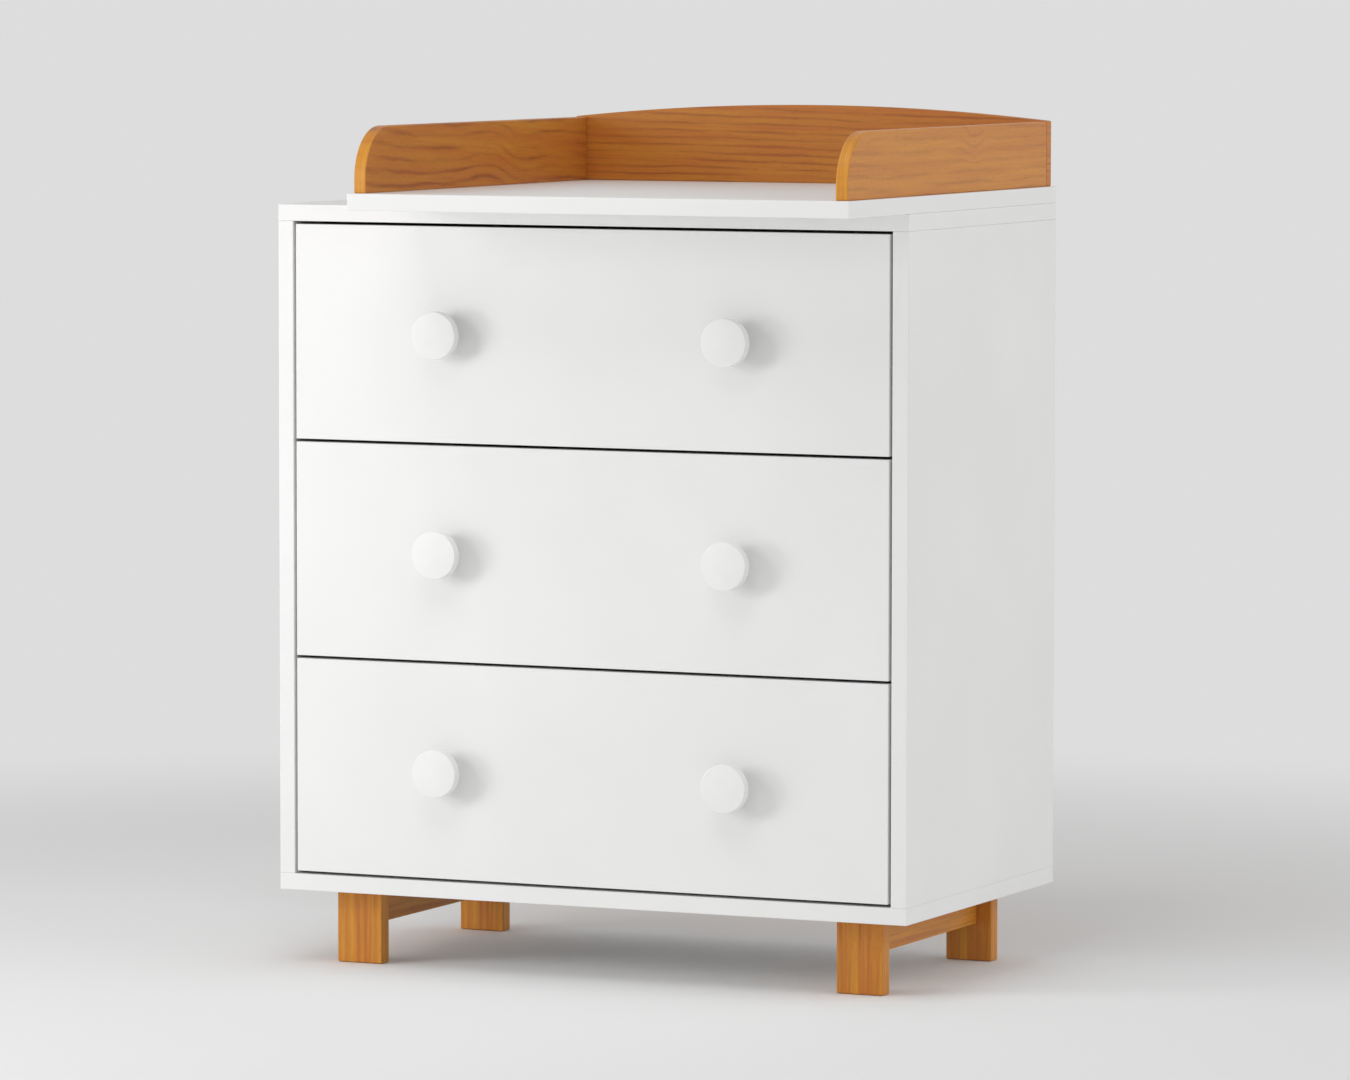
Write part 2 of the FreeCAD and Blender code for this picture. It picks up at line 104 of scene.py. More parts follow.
def board(node, edge):
    """A plain board in the place of a CAD node: a rectangle carried through its thickness."""
    low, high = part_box(node)
    return plate(outline(rectangle(low.x, high.x, low.z, high.z), edge), low.y, high.y, edge, "xzy")


def skin(name, grids):
    """One mesh over grids of points and of the directions that they face.

    A point makes a four-sided face with its neighbours along both parameters. The second one
    closes on itself, and the first and last ring are filled. Points that fall together are
    merged, and a face is turned to the side that its own directions point to.
    """
    points = np.concatenate([p.reshape(-1, 3) for p, _ in grids])
    facing = np.concatenate([n.reshape(-1, 3) for _, n in grids])
    places, merged = np.unique(np.round(points, 7), axis=0, return_inverse=True)
    merged = merged.ravel()
    loops, sizes, normals = [], [], []
    start = 0
    for p, _ in grids:
        ring = start + np.arange(p.shape[0] * p.shape[1]).reshape(p.shape[:2])
        start += ring.size
        low, high = ring[:-1], ring[1:]
        sides = np.stack((low, np.roll(low, -1, 1), np.roll(high, -1, 1), high), -1).reshape(-1, 4)
        for faces in (sides, ring[:1], ring[-1:]):
            spots = points[faces]
            across = np.cross(spots, np.roll(spots, -1, 1)).sum(1)
            away = (across * facing[faces].sum(1)).sum(1) < 0
            faces = np.where(away[:, None], faces[:, ::-1], faces)
            keep = merged[faces] != np.roll(merged[faces], 1, 1)
            whole = keep.sum(1) > 2
            faces, keep = faces[whole], keep[whole]
            loops.append(merged[faces[keep]])
            normals.append(facing[faces[keep]])
            sizes.append(keep.sum(1))
    loops, sizes, normals = (np.concatenate(part) for part in (loops, sizes, normals))
    mesh = bpy.data.meshes.new(name)
    mesh.vertices.add(len(places))
    mesh.vertices.foreach_set("co", places.ravel())
    mesh.loops.add(len(loops))
    mesh.loops.foreach_set("vertex_index", loops)
    mesh.polygons.add(len(sizes))
    mesh.polygons.foreach_set("loop_start", np.cumsum(sizes) - sizes)
    mesh.update(calc_edges=True)
    mesh.shade_smooth()
    mesh.normals_split_custom_set(normals)
    piece = bpy.data.objects.new(name, mesh)
    bpy.context.scene.collection.objects.link(piece)
    return piece


def fasten(piece, finish, slot, body, *nodes):
    """Gives the piece its finish, lets it ride on its body and stand for its CAD nodes."""
    piece.data.materials.append(finish)
    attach(piece, body)
    if nodes:
        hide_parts(*nodes)


def fasten_board(node, edge, finish, slot, body="carcass", kind="board"):
    """Puts a plain board in the place of its CAD node."""
    fasten(skin(f"{node}_{kind}", [board(node, edge)]), finish, slot, body, node)


def colour(code):
    """The linear colour of an sRGB hex value."""
    part = np.array([int(code[k:k + 2], 16) for k in (1, 3, 5)]) / 255
    return (*np.where(part <= 0.04045, part / 12.92, ((part + 0.055) / 1.055) ** 2.4), 1.0)


def add(tree, kind, sockets=(), stops=(), **settings):
    """Adds a node: settings are its own, and sockets gives an input its value or its link.

    A node that is given as a value links its first output. The stops are those of a colour
    ramp, each a position and a hex value.
    """
    made = tree.nodes.new("ShaderNode" + kind)
    for name, value in settings.items():
        setattr(made, name, value)
    for socket, value in dict(sockets).items():
        if isinstance(value, bpy.types.Node):
            value = value.outputs[0]
        if isinstance(value, bpy.types.NodeSocket):
            tree.links.new(value, made.inputs[socket])
        else:
            made.inputs[socket].default_value = value
    if stops:
        for element, (position, code) in zip(made.color_ramp.elements, stops):
            element.position, element.color = position, colour(code)
    return made


def finish(name):
    """A new material, its empty node tree, and the object's own coordinates."""
    material = bpy.data.materials.new(name)
    material.use_nodes = True
    tree = material.node_tree
    tree.nodes.clear()
    return material, tree, add(tree, "TexCoord").outputs["Object"]


# Satin polyurethane lacquer, sprayed: close to white, with a soft broad sheen. Its orange peel
# is about 2 mm from crest to crest, and shows only as a slight unevenness of the sheen.
LACQUER_CLOUD = 5.0              # to the metre: the coat is uneven over some 200 mm
PEEL = 0.002
lacquer, tree, place = finish("satin_white_lacquer")
cloud = add(tree, "TexNoise", {"Vector": place, "Scale": LACQUER_CLOUD, "Detail": 2.0})
peel = add(tree, "TexNoise", {"Vector": place, "Scale": 1 / PEEL, "Detail": 1.0})
add(tree, "OutputMaterial", {"Surface": add(tree, "BsdfPrincipled", {
    "Base Color": add(tree, "ValToRGB", {"Fac": cloud}, [(0.3, "#EDEDEC"), (0.7, "#F1F1F0")]),
    "Roughness": add(tree, "MapRange", {"Value": cloud, "To Min": 0.36, "To Max": 0.42}),
    "IOR": 1.5,
    "Normal": add(tree, "Bump", {"Height": peel, "Strength": 0.12, "Distance": 0.0001}),
})})

for node in ("bottom_panel", "side_panel_left", "side_panel_right", "top_panel"):
    fasten_board(node, LACQUER_ARRIS, lacquer, "white_lacquer")

# ---- Back panel ---------------------------------------------------------------------------
# Thin hardboard, slid into a groove round the carcass. One face is painted white in the
# factory and looks inwards; the other shows the bare pressed fibres.
HARDBOARD_ARRIS = 0.0002
FIBRE = 0.003                    # bundles of fibre are nearer 0.5 mm, drawn coarser to show


def hardboard(name, bare):
    """Satin white on one face; brown, flecked and matt where the face looks along bare."""
    material, tree, place = finish(name)
    fleck = add(tree, "TexNoise", {
        "Vector": place, "Scale": 1 / FIBRE, "Detail": 6.0, "Roughness": 0.7,
    })
    looks = add(tree, "TexCoord").outputs["Normal"]
    along = add(tree, "VectorMath", {0: looks, 1: bare}, operation="DOT_PRODUCT").outputs["Value"]
    outer = add(tree, "Math", {0: along, 1: 0.5}, operation="GREATER_THAN")
    white = add(tree, "ValToRGB", {"Fac": fleck}, [(0.3, "#E4E4E1"), (0.7, "#ECECEA")])
    brown = add(tree, "ValToRGB", {"Fac": fleck}, [(0.3, "#8A6238"), (0.7, "#B4875A")])
    face = add(tree, "Mix", {0: outer, 6: white, 7: brown}, data_type="RGBA").outputs[2]
    add(tree, "OutputMaterial", {"Surface": add(tree, "BsdfPrincipled", {
        "Base Color": face, "IOR": 1.5,
        "Roughness": add(tree, "MapRange", {"Value": outer, "To Min": 0.45, "To Max": 0.8}),
        "Normal": add(tree, "Bump", {"Height": fleck, "Strength": 0.3, "Distance": 0.0002}),
    })})
    return material


back_board = hardboard("hardboard_bare_behind", (0.0, 1.0, 0.0))
fasten_board("back_panel", HARDBOARD_ARRIS, back_board, "hardboard", kind="sheet")

# ---- Leg frames ---------------------------------------------------------------------------
# Two frames of solid wood: a leg at each end, a flat board on end, and a rail dowelled
# between them. Stained honey brown and lacquered, with the edges sanded round.
LEG_ARRIS, LEG_RAIL_ARRIS = 0.0016, 0.0005

# Solid close-grained hardwood under a honey-brown stain and a thin satin varnish: golden and
# redder strips side by side, a soft darker line where each year's growth ends, and short fine
# pores. It is one block of wood in space, so a board's faces, edges and ends agree.
GOLDEN, REDDISH, DARK = "#D89433", "#C27530", "#8F4C26"
SHADED_TONES = ("#C07030", "#C98530")    # the two tones darkened: painted shade on the rails that get less light
# Painted highlight on the rails' ends that face the front: a lighter, more golden band.
END_HIGHLIGHT_BAND = [(0.3, "#D08A30"), (0.7, "#E5A03C")]
END_LINES = (450.0, 12.0, 12.0)  # to the metre: fine lines across the edge, some 2 mm apart
# Each figure has a length along the grain and a width across it. The bows and ripples bend the
# years, and the patches are where their lines show. Pores are nearer 0.2 mm wide, drawn coarser
# to show.
BOW, RIPPLE, PATCH = (0.26, 0.09), (0.05, 0.016), (0.12, 0.02)
STRIP, STREAK, PORE = (0.5, 0.016), (0.09, 0.0028), (0.012, 0.0011)


def stretched(tree, place, figure, detail):
    """Noise drawn out along the grain, which is X."""
    along, across = figure
    size = (1 / along, 1 / across, 1 / across)
    scaled = add(tree, "VectorMath", {0: place, 1: size}, operation="MULTIPLY")
    return add(tree, "TexNoise", {"Vector": scaled, "Scale": 1.0, "Detail": detail})


def stained_wood(name, pith, turn, ring, wander, line, knots=(), end=None,
                 tones=(REDDISH, GOLDEN), evenness=0.25):
    """A stained board.

    The years are the distance from the pith line, bent by slow noise and pushed aside near
    knots; a sine of it, raised to a power, gives the dark lines. Where the board faces along
    end, towards the lamps, its edge gets a painted highlight: lighter and more golden, with
    fewer dark lines. Fine lines of end grain run across its thickness.
    """
    material, tree, place = finish(name)
    local = add(tree, "Mapping", {
        "Vector": place, "Location": pith, "Rotation": turn,
    }, vector_type="TEXTURE")
    parts = add(tree, "SeparateXYZ", {"Vector": local}).outputs
    across = add(tree, "CombineXYZ", {"Y": parts["Y"], "Z": parts["Z"]})
    path = add(tree, "VectorMath", {0: across}, operation="LENGTH").outputs["Value"]
    for figure, detail, push in ((BOW, 1.0, wander), (RIPPLE, 2.0, ring * 0.5)):
        bend = stretched(tree, local, figure, detail)
        path = add(tree, "Math", {0: bend, 1: push, 2: path}, operation="MULTIPLY_ADD")
    for spot, reach, lift in knots:
        near = add(tree, "VectorMath", {0: place, 1: spot}, operation="DISTANCE").outputs["Value"]
        rise = add(tree, "MapRange", {
            "Value": near, "From Min": 0.0, "From Max": reach, "To Min": lift, "To Max": 0.0,
        }, interpolation_type="SMOOTHERSTEP")
        path = add(tree, "Math", {0: path, 1: rise}, operation="ADD")
    year = add(tree, "Math", {0: path, 1: 2 * math.pi / ring}, operation="MULTIPLY")
    wave = add(tree, "Math", {0: year}, operation="SINE")
    wave = add(tree, "Math", {0: wave, 1: 0.5, 2: 0.5}, operation="MULTIPLY_ADD")
    late = add(tree, "Math", {0: wave, 1: 3.5}, operation="POWER")
    patch = add(tree, "MapRange", {
        "Value": stretched(tree, local, PATCH, 2.0),
        "From Min": 0.33, "From Max": 0.62, "To Max": line,
    })
    late = add(tree, "Math", {0: late, 1: patch}, operation="MULTIPLY")
    streaks = stretched(tree, local, STREAK, 3.0)
    blend = add(tree, "Math", {0: stretched(tree, local, STRIP, 2.0), 1: streaks}, operation="ADD")
    blend = add(tree, "MapRange", {
        "Value": blend, "From Min": 1 - evenness, "From Max": 1 + evenness,
    })
    tone = add(tree, "ValToRGB", {"Fac": blend}, [(0.0, tones[0]), (1.0, tones[1])])
    pores = stretched(tree, local, PORE, 2.0)
    pits = add(tree, "MapRange", {
        "Value": pores, "From Min": 0.42, "From Max": 0.3, "To Max": 0.3,
    })
    dark = add(tree, "Math", {0: late, 1: pits}, operation="ADD", use_clamp=True)
    # Painted highlight: faces that look along end, towards the lamps, take the lighter band and
    # lose most dark lines.
    if end:
        looks = add(tree, "TexCoord").outputs["Normal"]
        facing = add(tree, "VectorMath", {0: looks, 1: end}, operation="DOT_PRODUCT")
        facing = add(tree, "MapRange", {
            "Value": facing.outputs["Value"], "From Min": 0.3, "From Max": 0.8,
        })
        lines = add(tree, "VectorMath", {0: place, 1: END_LINES}, operation="MULTIPLY")
        lines = add(tree, "TexNoise", {"Vector": lines, "Scale": 1.0, "Detail": 2.0})
        end_highlight = add(tree, "ValToRGB", {"Fac": lines}, END_HIGHLIGHT_BAND)
        tone = add(tree, "Mix", {0: facing, 6: tone, 7: end_highlight}, data_type="RGBA").outputs[2]
        plain = add(tree, "MapRange", {"Value": facing, "To Min": 1.0, "To Max": 0.15})
        dark = add(tree, "Math", {0: dark, 1: plain}, operation="MULTIPLY")
    tone = add(tree, "Mix", {0: dark, 6: tone, 7: colour(DARK)}, data_type="RGBA").outputs[2]
    add(tree, "OutputMaterial", {"Surface": add(tree, "BsdfPrincipled", {
        "Base Color": tone, "IOR": 1.5, "Specular IOR Level": 0.3,
        "Roughness": add(tree, "MapRange", {"Value": streaks, "To Min": 0.34, "To Max": 0.44}),
        "Normal": add(tree, "Bump", {"Height": pores, "Strength": 0.1, "Distance": 0.0001}),
    })})
    return material


UPRIGHT = (0.0, math.radians(-90), 0.0)
ALONG_Y = (0.0, 0.0, math.radians(90))
LEG_PITH, LEG_PITH_AHEAD = 0.11, 0.01    # how far the middle of the tree lies from the board
LEG_FIGURE = {"wander": 0.008, "line": 0.3}
for side, sign in (("left", -1), ("right", 1)):
    for end in ("front", "rear"):
        node = f"leg_{end}_{side}"
        low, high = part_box(node)
        pith = (low.x - LEG_PITH * sign, low.y - LEG_PITH_AHEAD, 0.0)
        wood = stained_wood("stained_" + node, pith, UPRIGHT, ring=0.011, **LEG_FIGURE)
        fasten_board(node, LEG_ARRIS, wood, "stained_wood")
    node = "leg_rail_" + side
    low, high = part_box(node)
    pith = (low.x, 0.0, low.z - LEG_PITH)
    wood = stained_wood("stained_" + node, pith, ALONG_Y, ring=0.010, **LEG_FIGURE)
    fasten_board(node, LEG_RAIL_ARRIS, wood, "stained_wood")

# ---- Changing board -----------------------------------------------------------------------
# A lacquered board that lies on the top panel and stands out over the drawers. Screws from
# below hold it. Its edges are eased like those of the carcass.
fasten_board("changing_board", LACQUER_ARRIS, lacquer, "white_lacquer", kind="panel")

# ---- Rails --------------------------------------------------------------------------------
# Three rails of the same stained wood stand on the board. The side rails end in a round corner
# at the front. The back rail rises to a long low arch, and is screwed to their rear ends.
RAIL_ARRIS = 0.0015
RAIL_CORNER = 0.060
ARCH_RISE = 0.016                # crest of the back rail over its ends
ARCH_STEPS = 48
ARCH_EASE = 0.004                # radius between one flat of the arch and the next


def side_rail(node):
    """A rectangle with one corner turned on a wide radius, carried through the thickness."""
    low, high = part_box(node)
    corners = rectangle(low.y, high.y, low.z, high.z)
    line = outline(corners, [RAIL_ARRIS] * 3 + [RAIL_CORNER], steps=12)
    return plate(line, low.x, high.x, RAIL_ARRIS, "yzx")


def arched_rail(node):
    """Its upper edge is part of a circle through both ends and the crest."""
    low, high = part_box(node)
    middle, half = (low.x + high.x) / 2, (high.x - low.x) / 2
    radius = (half ** 2 + ARCH_RISE ** 2) / (2 * ARCH_RISE)
    x = np.linspace(high.x, low.x, ARCH_STEPS + 1)
    z = high.z - radius + np.sqrt(radius ** 2 - (x - middle) ** 2)
    corners = [(low.x, low.z), (high.x, low.z), *zip(x, z)]
    radii = np.full(len(corners), ARCH_EASE)
    radii[[0, 1, 2, -1]] = RAIL_ARRIS
    return plate(outline(corners, radii, 3), low.y, high.y, RAIL_ARRIS, "xzy")


def stand_rail(node, shape, **figure):
    """Cuts a rail to its shape, stains it and stands it on the board."""
    wood = stained_wood("stained_" + node, **figure)
    fasten(skin(node + "_board", [shape(node)]), wood, "stained_wood", "carcass", node)


# The years of the left rail rise over one spot and sink over the next, and those of the right
# rail part round a third. Each spot has its reach and its lift.
# The side rails' front ends, which look this way, get a painted highlight.
RAIL_HIGHLIGHT_END = (0.0, -1.0, 0.0)      # the way the front edges look
left_low, left_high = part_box("rail_left")
peak, valley = (left_high.x, 0.02, 0.947), (left_high.x, 0.11, 0.950)
# The left rail's tones are darkened: painted shade.
stand_rail(
    "rail_left", side_rail, pith=(left_low.x, 0.0, left_low.z - 0.12),
    turn=(0.0, 0.05, math.radians(90)), ring=0.0145, wander=0.02, line=0.7,
    knots=[(peak, 0.10, -0.009), (valley, 0.09, 0.009)], end=RAIL_HIGHLIGHT_END, tones=SHADED_TONES,
)
right_low, right_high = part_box("rail_right")
fork = (right_high.x, 0.065, 0.978)
stand_rail(
    "rail_right", side_rail, pith=(right_high.x, 0.0, right_low.z - 0.16),
    turn=ALONG_Y, ring=0.013, wander=0.02, line=0.3,
    knots=[(fork, 0.05, 0.012)], end=RAIL_HIGHLIGHT_END, evenness=0.45,
)
rear_low, rear_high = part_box("rail_back")
# The back rail's tones are darkened too: painted shade.
stand_rail(
    "rail_back", arched_rail, pith=(0.0, rear_low.y, rear_low.z - 0.14),
    turn=(0.0, 0.02, 0.0), ring=0.009, wander=0.012, line=0.6, tones=SHADED_TONES,
)

# ---- Dowels -------------------------------------------------------------------------------
# Fluted beech dowels, left bare and glued into both pieces: two upright in each corner of the
# carcass, and two in each joint between a leg and the rail of its frame.
DOWEL_RADIUS, DOWEL_LENGTH = 0.004, 0.030
DOWEL_CHAMFER, FLUTE_DEPTH, FLUTES, FLUTE_STEPS = 0.001, 0.0003, 12, 4
CORNER_INSET = 0.070             # end of a side panel to its dowels
INTO_CAP, INTO_LEG = 0.010, 0.012
LEG_DOWEL_SPACING = 0.022
TINY = 1e-14                     # an area this small is a pole, where lines run together


def turned(profile, facing, at, axis, segments):
    """A profile of (radius, height) points and directions, turned round an axis through at."""
    axis = np.array(axis, float)
    across = np.roll(axis, 1)
    turn = np.radians(np.arange(segments) * 360 / segments)[:, None]
    ring = np.cos(turn) * across + np.sin(turn) * np.cross(axis, across)
    profile, facing = np.array(profile, float), np.array(facing, float)
    grid = profile[:, None, :1] * ring + profile[:, None, 1:] * axis
    return grid + np.array(at), facing[:, None, :1] * ring + facing[:, None, 1:] * axis


def faced(grid):
    """The same grid with the direction that each point faces: across both lines through it."""
    around = np.roll(grid, -1, 1) - np.roll(grid, 1, 1)
    out = np.cross(np.gradient(grid, axis=0), around)
    size = np.linalg.norm(out, axis=-1, keepdims=True)
    out = np.where(size > TINY, out / np.maximum(size, TINY), 0.0)
    out[0] = out[1].mean(0) if size[0].max() < TINY else out[0]
    out[-1] = out[-2].mean(0) if size[-1].max() < TINY else out[-1]
    return grid, out if (out * (grid - grid.mean((0, 1)))).sum() > 0 else -out


def dowel(at, axis):
    """A chamfered rod whose radius dips between its flutes, as the cosine of their turn."""
    half, small = DOWEL_LENGTH / 2, DOWEL_RADIUS - DOWEL_CHAMFER
    lip = half - DOWEL_CHAMFER
    profile = [(0, -half), (small, -half), (DOWEL_RADIUS, -lip)]
    profile += [(across, -along) for across, along in profile[::-1]]
    grid, _ = turned(profile, profile, (0, 0, 0), axis, FLUTES * FLUTE_STEPS)
    wave = 0.5 - 0.5 * np.cos(np.arange(FLUTES * FLUTE_STEPS) * 2 * math.pi / FLUTE_STEPS)
    along = grid * np.array(axis)
    shrink = 1 - (FLUTE_DEPTH / DOWEL_RADIUS) * wave[None, :, None]
    return faced(along + (grid - along) * shrink + np.array(at))


# Bare planed beech: pale and matt, with flecks of about 2.5 mm.
BEECH_FLECK = 0.0025
beech, tree, place = finish("bare_beech")
fleck = add(tree, "TexNoise", {"Vector": place, "Scale": 1 / BEECH_FLECK, "Detail": 2.0})
add(tree, "OutputMaterial", {"Surface": add(tree, "BsdfPrincipled", {
    "Base Color": add(tree, "ValToRGB", {"Fac": fleck}, [(0.3, "#C39A66"), (0.7, "#D9B684")]),
    "Roughness": 0.7,
})})
side_low, side_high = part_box("side_panel_right")
rail_low, rail_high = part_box("leg_rail_right")
above, inside = DOWEL_LENGTH / 2 - INTO_CAP, DOWEL_LENGTH / 2 - INTO_LEG
dowels = []
for side in (-1, 1):
    x = side * (side_low.x + side_high.x) / 2
    for y in (side_low.y + CORNER_INSET, side_high.y - CORNER_INSET):
        for z in (side_low.z + above, side_high.z - above):
            dowels.append(dowel((x, y, z), (0, 0, 1)))
    x = side * (rail_low.x + rail_high.x) / 2
    for z in (-LEG_DOWEL_SPACING / 2, LEG_DOWEL_SPACING / 2):
        z += (rail_low.z + rail_high.z) / 2
        for y in (rail_low.y + inside, rail_high.y - inside):
            dowels.append(dowel((x, y, z), (0, 1, 0)))
fasten(skin("fluted_dowels", dowels), beech, "dowel_wood", "carcass", "dowels")

# ---- Wood screws --------------------------------------------------------------------------
# Countersunk screws of yellow-zinc steel with a cross recess: down into the leg frames, up into
# the changing board, and through the back rail, where four of the heads can be seen.
HEAD_RADIUS, HEAD_DEPTH, SHANK_RADIUS = 0.004, 0.003, 0.0019
SCREW_LENGTH, SCREW_POINT = 0.035, 0.004
THREAD_PITCH, THREAD_DEPTH, THREAD_STEPS = 0.0024, 0.0006, 6
HEAD_SEGMENTS, SHANK_SEGMENTS = 48, 12
CROSS_REACH, CROSS_HALF, CROSS_DEPTH = 0.0022, 0.0006, 0.0014
LEG_SCREW_INSET = 0.086
RAIL_SCREW_INSET = 0.019
BOARD_SCREW_SIDE, BOARD_SCREW_END = 0.090, 0.070


def crossed(grid, at, axis, reach, half, depth):
    """A head with a cross pressed in: the sink is deepest in the middle and along two arms."""
    place = grid - np.array(at)
    along = place @ np.array(axis, float)
    across = np.roll(np.array(axis, float), 1)
    u, v = place @ across, place @ np.cross(axis, across)
    far = np.hypot(u, v)
    arm = np.clip(1.5 - np.minimum(abs(u), abs(v)) / half, 0, 1)
    sink = depth * arm * np.clip(1 - far / reach, 0, 1) ** 0.5 * (along > -depth / 4)
    return grid - sink[..., None] * np.array(axis)


def wood_screw(at, axis, length=SCREW_LENGTH, head=HEAD_RADIUS):
    """Head and shank, both turned. A ridge runs round the shank as depth plus turn over pitch.

    The head is flat out to four fifths of its radius, and drops a little towards its rim.
    """
    away = -np.array(axis, float)
    rho = np.concatenate((np.linspace(0, 0.62, 12), [0.8, 0.95, 1.0, 0.98])) * head
    sunk = np.concatenate((np.zeros(14), [0.0001, 0.0003]))
    profile = [*zip(rho, -sunk), (SHANK_RADIUS, -HEAD_DEPTH), (0, -HEAD_DEPTH)]
    grid, _ = turned(profile, profile, at, away, HEAD_SEGMENTS)
    top = crossed(grid, at, away, CROSS_REACH, CROSS_HALF, CROSS_DEPTH)
    depth = np.arange(HEAD_DEPTH * 0.9, length, THREAD_PITCH / THREAD_STEPS)
    taper = np.clip((length - depth) / SCREW_POINT, 0.02, 1)
    turn = np.arange(SHANK_SEGMENTS) / SHANK_SEGMENTS
    ridge = (1 + np.cos(2 * math.pi * (depth[:, None] / THREAD_PITCH + turn))) / 2
    across = (SHANK_RADIUS - THREAD_DEPTH * (1 - ridge)) * taper[:, None]
    line = np.stack((np.ones_like(depth), -depth), 1)
    shank, _ = turned(line, line, (0, 0, 0), away, SHANK_SEGMENTS)
    core = shank * abs(away)
    shank = core + (shank - core) * across[..., None] + np.array(at)
    return [faced(top), faced(shank)]


# Steel with a yellow-passivated zinc plate: a pale brassy metal, cloudy over about 2 mm.
YELLOW_SPANGLE = 0.002
zinc_yellow, tree, place = finish("yellow_zinc_plate")
spangle = add(tree, "TexNoise", {"Vector": place, "Scale": 1 / YELLOW_SPANGLE, "Detail": 2.0})
add(tree, "OutputMaterial", {"Surface": add(tree, "BsdfPrincipled", {
    "Base Color": add(tree, "ValToRGB", {"Fac": spangle}, [(0.3, "#C9B27A"), (0.7, "#DCCB9A")]),
    "Metallic": 1.0,
    "Roughness": add(tree, "MapRange", {"Value": spangle, "To Min": 0.22, "To Max": 0.36}),
})})
screws = []
board_low, board_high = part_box("changing_board")
top_low, top_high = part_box("top_panel")
_, base_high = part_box("bottom_panel")
rail_middle = (rail_low.x + rail_high.x) / 2
for x in (-rail_middle, rail_middle):
    for y in (rail_low.y + LEG_SCREW_INSET, rail_high.y - LEG_SCREW_INSET):
        screws += wood_screw((x, y, base_high.z), (0, 0, -1))
for rail in ("rail_left", "rail_right"):
    low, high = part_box(rail)
    for z in (low.z + RAIL_SCREW_INSET, high.z - RAIL_SCREW_INSET):
        screws += wood_screw(((low.x + high.x) / 2, rear_high.y, z), (0, -1, 0))
for x in (board_low.x + BOARD_SCREW_SIDE, board_high.x - BOARD_SCREW_SIDE):
    for y in (top_low.y + BOARD_SCREW_END, top_high.y - BOARD_SCREW_END):
        screws += wood_screw((x, y, top_low.z), (0, 0, 1))
fasten(skin("countersunk_screws", screws), zinc_yellow, "screw_steel", "carcass", "wood_screws")

# ---- Drawers ------------------------------------------------------------------------------
# Each drawer has an inset front like the carcass panels, screwed to a box of thinner board
# wrapped in matt white foil. The bottom is white-faced hardboard, held in a groove.
FOIL_ARRIS = 0.0005
DRAWERS = ("bottom", "middle", "top")

# Paper foil glued on the box's board: a dull warm white, with a fine grain of about 1 mm.
FOIL_GRAIN = 900.0               # to the metre
foil, tree, place = finish("matt_white_foil")
grain = add(tree, "TexNoise", {"Vector": place, "Scale": FOIL_GRAIN, "Detail": 2.0})
add(tree, "OutputMaterial", {"Surface": add(tree, "BsdfPrincipled", {
    "Base Color": add(tree, "ValToRGB", {"Fac": grain}, [(0.3, "#E6E6E3"), (0.7, "#ECECEA")]),
    "Roughness": 0.55,
    "Normal": add(tree, "Bump", {"Height": grain, "Strength": 0.1, "Distance": 0.0001}),
})})
drawer_base = hardboard("hardboard_bare_below", (0.0, 0.0, -1.0))
for level in DRAWERS:
    drawer = "drawer_" + level
    fasten_board(drawer + "_front", LACQUER_ARRIS, lacquer, "white_lacquer", drawer)
    for part in ("_side_left", "_side_right", "_back"):
        fasten_board(drawer + part, FOIL_ARRIS, foil, "box_board", drawer)
    fasten_board(drawer + "_base", HARDBOARD_ARRIS, drawer_base, "hardboard", drawer, "sheet")

# ---- Knobs --------------------------------------------------------------------------------
# Turned wooden knobs under satin white paint: a faintly domed head with a round edge on a
# narrow neck. A pan-head screw from inside the drawer holds each one.
KNOB_RADIUS, KNOB_PROJECTION, KNOB_RIM = 0.028, 0.030, 0.0115
KNOB_NECK, KNOB_SEAT = 0.010, 0.0125
KNOB_EDGE, KNOB_BACK_EDGE, KNOB_COVE = 0.0012, 0.0008, 0.003
KNOB_CROWN = 0.0013              # how far the face falls away towards its edge
KNOB_SPACING = 0.368
KNOB_FACE_RINGS, KNOB_SEGMENTS = 7, 72
PAN_RADIUS, PAN_HEIGHT = 0.0042, 0.0026


def lathe_line(corners, radii, steps):
    """An outline that begins and ends on the axis, with the run along the axis left out."""
    points, facing, _ = outline(corners, radii, steps)
    return points[steps:-steps], facing[steps:-steps]


def knob(x, y, z):
    """A turned profile. Its face falls with the square of the radius, and its directions lean."""
    back = KNOB_PROJECTION - KNOB_CROWN - KNOB_RIM
    rings = KNOB_RADIUS * np.arange(KNOB_FACE_RINGS) / (KNOB_FACE_RINGS + 1)
    corners = [(across, KNOB_PROJECTION) for across in (*rings, KNOB_RADIUS)]
    corners += [(KNOB_RADIUS, back), (KNOB_NECK, back), (KNOB_SEAT, 0), (0, 0)]
    radii = [0] * KNOB_FACE_RINGS + [KNOB_EDGE, KNOB_BACK_EDGE, KNOB_COVE, 0, 0]
    points, facing = lathe_line(corners, radii, 8)
    front = points[:, 1] > back + KNOB_RIM / 2
    fall = KNOB_CROWN * (points[:, 0] / KNOB_RADIUS) ** 2
    lean = 2 * KNOB_CROWN * points[:, 0] / KNOB_RADIUS ** 2
    facing[:, 0] += np.where(front, lean * facing[:, 1], 0)
    points[:, 1] -= np.where(front, fall, 0)
    facing /= np.linalg.norm(facing, axis=1, keepdims=True)
    return turned(points, facing, (x, y, z), (0, -1, 0), KNOB_SEGMENTS)


def pan_screw(at, axis):
    """A low round head with a cross: its height is a power of the cosine, its radius the sine."""
    t = np.radians(np.linspace(0, 90, 10))
    crown = zip(np.sin(t) * PAN_RADIUS, np.cos(t) ** 0.6 * PAN_HEIGHT)
    profile = [*crown, (PAN_RADIUS * 0.98, 0), (0, 0)]
    grid, _ = turned(profile, profile, at, axis, HEAD_SEGMENTS)
    tip = np.array(at) + np.array(axis) * PAN_HEIGHT
    return faced(crossed(grid, tip, axis, CROSS_REACH, CROSS_HALF, CROSS_DEPTH))


